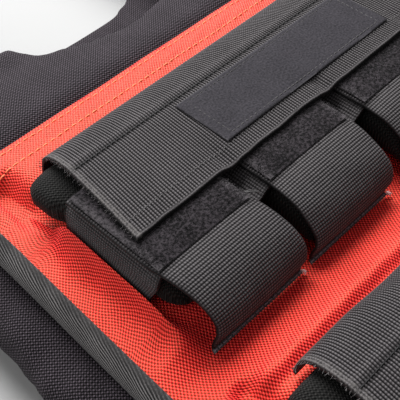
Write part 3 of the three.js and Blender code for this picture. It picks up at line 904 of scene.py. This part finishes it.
def patch(row, column):
    half = PATCH["width"] / 2
    x = np.linspace(-half, half, 45)[:, None]
    dy = np.linspace(PATCH["lower"], PATCH["upper"], 45)
    seed = piece_seed(row, column, 60)
    to_side = half - np.abs(x)
    rim = (1 - ease(1.2, 3.6, to_side)) * np.where(x > 0, 1.0, 0.75)
    pile = np.minimum(0.18 * ripple(seed, 2.5, x, dy), PILE) - 0.5 * near_edge(to_side, 1.4)
    drop = patch_drop(x, dy)
    on_loop = LOOP_TOP + PATCH_LIFT
    height = np.maximum(PATCH["top"] - PILE + pile + drop, on_loop + 0.12)
    top = xyz(pocket_x(column) + x, ROWS[row] + dy, SEWN + height)
    under = top[::4].copy()
    under[..., 2] = SEWN + np.maximum(PATCH["top"] - PATCH["thickness"] + drop[::4], on_loop)
    obj = slab(f"patch_{row}_{column}_tape", top, under, xyz(pocket_x(column) + x, dy), {"rim": rim})
    place(obj, FASTENER, "fastener", f"patch_{row}_{column}")
    fuzz(row, column, seed)


def fuzz(row, column, seed):
    """Curled fibres on the bare part of a patch and along its side rims."""
    rng = np.random.default_rng(seed)
    half = PATCH["width"] / 2
    t = np.linspace(0, 1, 4)
    for name, count, rim in (("bare", 620, 0.12), ("rim", 330, 0.9)):
        if name == "bare":
            x = rng.uniform(-half + 2, half - 2, count)
            dy = rng.uniform(PATCH["lower"] - 0.6, FLAP["lower"] + 2, count)
        else:
            x = half * rng.choice([-1, 1], count) * rng.uniform(0.9, 1.0, count)
            dy = rng.uniform(PATCH["lower"], FLAP["lower"] + 4, count)
        swing = rng.uniform(0, 2 * math.pi, count)[:, None] + 1.6 * t
        covered = ease(FLAP["lower"] - 1, FLAP["lower"] + 1.5, dy)
        tall = rng.uniform(0.3, 0.7, count) * (1 - 0.75 * covered)
        reach = rng.uniform(0.5, 1.1, count)[:, None] * np.sin(t * 2.4)
        root = SEWN + PATCH["top"] - 0.45 + patch_drop(x, dy)
        paths = xyz(pocket_x(column) + x[:, None] + reach * np.cos(swing),
                    ROWS[row] + dy[:, None] + reach * np.sin(swing),
                    root[:, None] + np.outer(tall, np.sin(math.pi * t)))
        strands(f"fuzz_{name}_{row}_{column}", paths, 0.085, FASTENER, "fastener", values={"rim": rim})


# Label

def label_height(dy):
    """The label lies on the flap, so it follows the flap's crown."""
    return SEWN + LABEL["top"] + np.minimum(smooth(FLAP_SECTION[2:], dy) - FLAP_TOP, 0)


def label():
    half = LABEL["half"]
    x = np.linspace(-half, half, 157)[:, None]
    dy = np.linspace(LABEL["lower"], LABEL["upper"], 44)
    inset = np.minimum(half - np.abs(x), np.minimum(dy - LABEL["lower"], LABEL["upper"] - dy))
    rim = 1 - ease(0.2, 0.8, inset)
    seam = LABEL_SEAM["depth"] * bell(LABEL_SEAM["inset"], 0.8, inset)
    crinkle = 0.12 * ripple(81, 26, x, dy) * (1 - rim) - seam - 0.3 * rim ** 2
    top = xyz(x, ROWS["upper"] + dy, label_height(dy) + crinkle)
    under = top[::4].copy()
    under[..., 2] = label_height(dy) - LABEL["thickness"]
    obj = slab("label_cloth", top, under, xyz(x, dy), {"rim": rim})
    place(obj, LABEL_SATIN, "label_satin", "label")
    label_stitches()


def label_stitches():
    side = LABEL["half"] - LABEL_SEAM["fold"]
    low, high = LABEL["lower"] + LABEL_SEAM["inset"], LABEL["upper"] - LABEL_SEAM["inset"]
    corners = np.array([(-side, low), (side, low), (side, high), (-side, high)])
    t = np.linspace(0, 1, 60)[:-1, None]
    edges = zip(corners, np.roll(corners, -1, axis=0))
    x, dy = np.concatenate([start + (end - start) * t for start, end in edges]).T
    path = xyz(x, ROWS["upper"] + dy, label_height(dy) - LABEL_SEAM["depth"])
    stitches("label_stitches", path, UP, GREY_THREAD, "label_satin", pitch=2.6, radius=0.22, sink=0.12)


# Edges of the body

def edge_piece(name, section_rows, sizes, word, seed, material, slot):
    """Tape or cloth swept along the red panel's edge on one side."""
    share = np.linspace(0, 1, 28)
    section, normals, length = section_curve(section_rows, share)
    y = np.linspace(sizes["lower"], sizes["upper"], 133)[:, None]
    out = half_width(y) + section[:, 0]
    across = share * length
    flat_end = 0.25
    swell = sizes["waviness"] * np.sin(flat_end + share * (math.pi - 2 * flat_end))
    uneven = swell * (ripple(seed, 42, y, across * 1.5) + 0.5 * ripple(seed + 1, 17, y, across))

    def surface(depth):
        return xyz(SIDES[word] * (out + normals[:, 0] * depth), y, section[:, 1] + normals[:, 1] * depth)

    top, under = surface(uneven), surface(uneven - sizes["thickness"])[::4]
    # Share across from the inner edge; the tape's material paints its highlight by it.
    values = {"outer": ease(0.05, 0.35, share)}
    obj = slab(f"{name}_{word}_cloth", top, under, xyz(across, y), values)
    place(obj, material, slot, f"{name}_{word}")


# Padded body

def mesh_points(mesh):
    points = np.zeros(len(mesh.vertices) * 3)
    mesh.vertices.foreach_get("co", points)
    return points.reshape(-1, 3) / MM


def applied(obj):
    """The mesh that an object's modifiers make."""
    mesh = bpy.data.meshes.new_from_object(obj.evaluated_get(bpy.context.evaluated_depsgraph_get()))
    obj.modifiers.clear()
    return mesh


def puff(obj):
    """Swell a pad with air pressure, with a limit to how far a point moves."""
    start = mesh_points(obj.data)
    cloth = obj.modifiers.new("cloth", "CLOTH")
    cloth.settings.use_pressure = True
    cloth.settings.uniform_pressure_force = 4
    cloth.settings.effector_weights.gravity = 0
    cloth.settings.mass = 0.15
    cloth.settings.tension_stiffness = 8
    cloth.settings.bending_stiffness = 0.4
    cloth.point_cache.frame_end = PUFF_FRAMES
    for number in range(1, PUFF_FRAMES + 1):
        bpy.context.scene.frame_set(number)
    obj.data = applied(obj)
    bpy.context.scene.frame_set(1)
    moved = mesh_points(obj.data) - start
    far = np.linalg.norm(moved, axis=1, keepdims=True)
    return start + moved * np.minimum(1, PUFF_MOST / np.maximum(far, 1e-6))


def padded_piece(node, uv_of, limit):
    """Soft copy of a node: remeshed, swollen, held off its neighbours and rounded."""
    obj = new_object(f"{node}_pad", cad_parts[node].data.copy())
    obj.data.materials.clear()
    remesh = obj.modifiers.new("remesh", "REMESH")
    remesh.mode = "VOXEL"
    remesh.voxel_size = PAD_VOXEL * MM
    soften = obj.modifiers.new("soften", "SMOOTH")
    soften.factor = 0.5
    soften.iterations = 3
    obj.data = applied(obj)
    points = limit(puff(obj))
    obj.data.vertices.foreach_set("co", (points * MM).ravel())
    obj.modifiers.new("rounded", "SUBSURF").levels = 1
    obj.data = applied(obj)
    points = limit(mesh_points(obj.data))
    obj.data.vertices.foreach_set("co", (points * MM).ravel())
    give_uv(obj.data, uv_of(points))
    obj.data.polygons.foreach_set("use_smooth", [True] * len(obj.data.polygons))
    place(obj, BLACK_CLOTH, "black_cloth", node)
    return obj


def flat_uv(points):
    return points[:, :2]


def strap_uv(points):
    """Along a strap: over the front, round the shoulder fold and back."""
    low, high = (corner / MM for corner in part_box("shoulder_strap_right"))
    radius = (high.z - low.z) / 2
    fold = high.y - radius
    middle = (high.z + low.z) / 2
    angle = np.arctan2(points[:, 1] - fold, points[:, 2] - middle)
    bent = fold + radius * angle
    behind = fold + radius * math.pi + fold - points[:, 1]
    flat = np.where(points[:, 2] > middle, points[:, 1], behind)
    return np.column_stack([points[:, 0], np.where(points[:, 1] > fold, bent, flat)])


def under_red(points):
    """Keep the front panel below the red panel that is sewn on it, and above the side cloth."""
    x, y, z = points.T
    lift = FRONT_PAD["side_lift"] * ease(*FRONT_PAD["sides"], np.abs(x))
    held = np.clip(z, SEWN + FRONT_PAD["lowest"] + lift, RED_BOTTOM - FRONT_PAD["below_red"])
    return np.column_stack([x, y, np.where(y < FRONT_PAD["covered"], held, z)])


def on_floor(points):
    """Keep a pad on the floor, flat where it rests."""
    return np.column_stack([points[:, :2], np.maximum(points[:, 2], 0.0)])


def pad_seam(name, pad, xy, from_above):
    """Topstitching that follows a pad's surface under or over a path of x and y."""
    mesh = pad.data
    tree = BVHTree.FromPolygons([v.co for v in mesh.vertices], [p.vertices for p in mesh.polygons])
    start_z, along = (0.2, Vector((0, 0, -1))) if from_above else (-0.1, Vector((0, 0, 1)))
    path, normals = [], []
    for x, y in xy:
        hit, normal, _, _ = tree.ray_cast(Vector((x * MM, y * MM, start_z)), along)
        if hit is not None:
            path.append(np.array(hit) / MM)
            normals.append(np.array(normal))
    stitches(name, np.array(path), np.array(normals), BLACK_THREAD, "black_cloth",
             pitch=4.0, radius=0.36, sink=0.16)


def side_path(side, y):
    return zip(side * (half_width(y) + PAD_EDGE - PAD_SEAM_INSET), y)


def pad_seams(front, back):
    for word, side in SIDES.items():
        armhole = side_path(side, np.linspace(*ARMHOLE_Y, 40))
        pad_seam(f"front_armhole_{word}_stitches", front, armhole, True)
        back_side = side_path(side, np.linspace(*BACK_SIDE_Y, 120))
        pad_seam(f"back_side_{word}_stitches", back, back_side, False)
    hem_y = BACK_HEM["y"] + PAD_SEAM_INSET
    hem = [(x, hem_y) for x in np.linspace(-BACK_HEM["half"], BACK_HEM["half"], 80)]
    pad_seam("back_hem_stitches", back, hem, False)


# Weights

def weight(row, column):
    """A covered weight. The outer ones bulge past the band above, and are shorter below."""
    table = np.array(WEIGHT_SECTION, float)
    run = lengths_along(table[:, [0, 2]])
    places = np.linspace(0, run[-1], 44)
    dy, bottom, top = (smooth(list(zip(run, table[:, k])), places) for k in range(3))
    bottom = np.maximum(bottom, table[:, 1].min())
    top = np.minimum(top, table[:, 2].max())
    dy = dy + WEIGHT_HELD_BACK[column] * ease(WEIGHT["shorter_from"], table[-1, 0], dy)
    rounding = np.linspace(0.62, 1, 10)
    across = np.concatenate([-rounding[::-1], np.linspace(-0.4, 0.4, 5), rounding])
    half = WEIGHT["width"] / 2
    to_side = half * (1 - np.abs(across))
    round_side = np.sqrt(1 - near_edge(to_side, WEIGHT["side_round"]))
    share = WEIGHT["side_share"] + (1 - WEIGHT["side_share"]) * round_side
    outer_side = WEIGHT_OUTER_SIDE[column]
    free = ease(*BULGE_LOWER, dy) * ease(*BULGE_UPPER, dy)
    bulge = WEIGHT["bulge"] * outer_side * free[:, None] * np.clip(outer_side * across, 0, 1) ** 6
    corner = WEIGHT_CORNER[column]
    rounded = half - corner * (1 - np.sqrt(1 - near_edge(dy - dy.min(), corner)))
    x = pocket_x(column) + rounded[:, None] * across + bulge
    y = ROWS[row] + dy[:, None]
    middle, thick = (bottom + top)[:, None] / 2, (top - bottom)[:, None] / 2
    uneven = 0.35 * ripple(piece_seed(row, column, 140), 22, x, y)
    upper = xyz(x, y, SEWN + middle + thick * share + np.minimum(uneven, 0))
    lower = xyz(x, y, SEWN + middle - thick * share)
    obj = slab(f"weight_{row}_{column}_bar", upper, lower, xyz(x, places[:, None]))
    place(obj, WEIGHT_COVER, "weight_cover", f"weight_{row}_{column}")


# Camera, floor and light

def camera():
    azimuth, elevation, roll = (math.radians(angle) for angle in CAMERA_ANGLES.values())
    turn = Matrix.Rotation(azimuth, 4, "Z") @ Matrix.Rotation(math.pi / 2 - elevation, 4, "X")
    obj = new_object("camera", bpy.data.cameras.new("camera"))
    obj.matrix_world = Matrix.Translation(CAMERA_PLACE) @ turn @ Matrix.Rotation(roll, 4, "Z")
    obj.data.sensor_width = 36
    obj.data.lens = obj.data.sensor_width * FOCAL_PIXELS / IMAGE_PIXELS
    obj.data.clip_start = 0.01
    bpy.context.scene.camera = obj


def area_light(name, energy, size, place_at, aim_at):
    light = bpy.data.lights.new(name, "AREA")
    light.energy = energy
    light.size = size
    obj = new_object(name, light)
    obj.location = place_at
    obj.rotation_euler = (Vector(aim_at) - Vector(place_at)).to_track_quat("-Z", "Y").to_euler()


def studio():
    corners = [(x * FLOOR_HALF, y * FLOOR_HALF, 0) for x, y in ((-1, -1), (1, -1), (1, 1), (-1, 1))]
    mesh = bpy.data.meshes.new("floor")
    mesh.from_pydata(corners, [], [(0, 1, 2, 3)])
    floor = new_object("floor", mesh)
    floor.data.materials.append(floor_material())
    area_light("key", **KEY)
    area_light("fill", **FILL)
    world = bpy.data.worlds.new("studio")
    world.use_nodes = True
    background = world.node_tree.nodes["Background"]
    background.inputs["Color"].default_value = (1, 1, 1, 1)
    background.inputs["Strength"].default_value = SKY
    bpy.context.scene.world = world
    bpy.context.scene.view_settings.view_transform = "Standard"


# Build

camera()
studio()
red_panel()
red_stitches()
for row_name in ROWS:
    flap(row_name)
    band(row_name)
    for pocket in COLUMNS:
        weight(row_name, pocket)
        loop(row_name, pocket)
        patch(row_name, pocket)
loose_thread()
label()
for side_word in SIDES:
    edge_piece("side_binding", TAPE_SECTION, TAPE, side_word, 91, EDGE_TAPE, "edge_tape")
    edge_piece("side_panel", SIDE_SECTION, SIDE, side_word, 93, BLACK_CLOTH, "black_cloth")
front_pad = padded_piece("front_panel", flat_uv, under_red)
back_pad = padded_piece("back_panel", flat_uv, on_floor)
for side_word in SIDES:
    padded_piece(f"shoulder_strap_{side_word}", strap_uv, on_floor)
pad_seams(front_pad, back_pad)
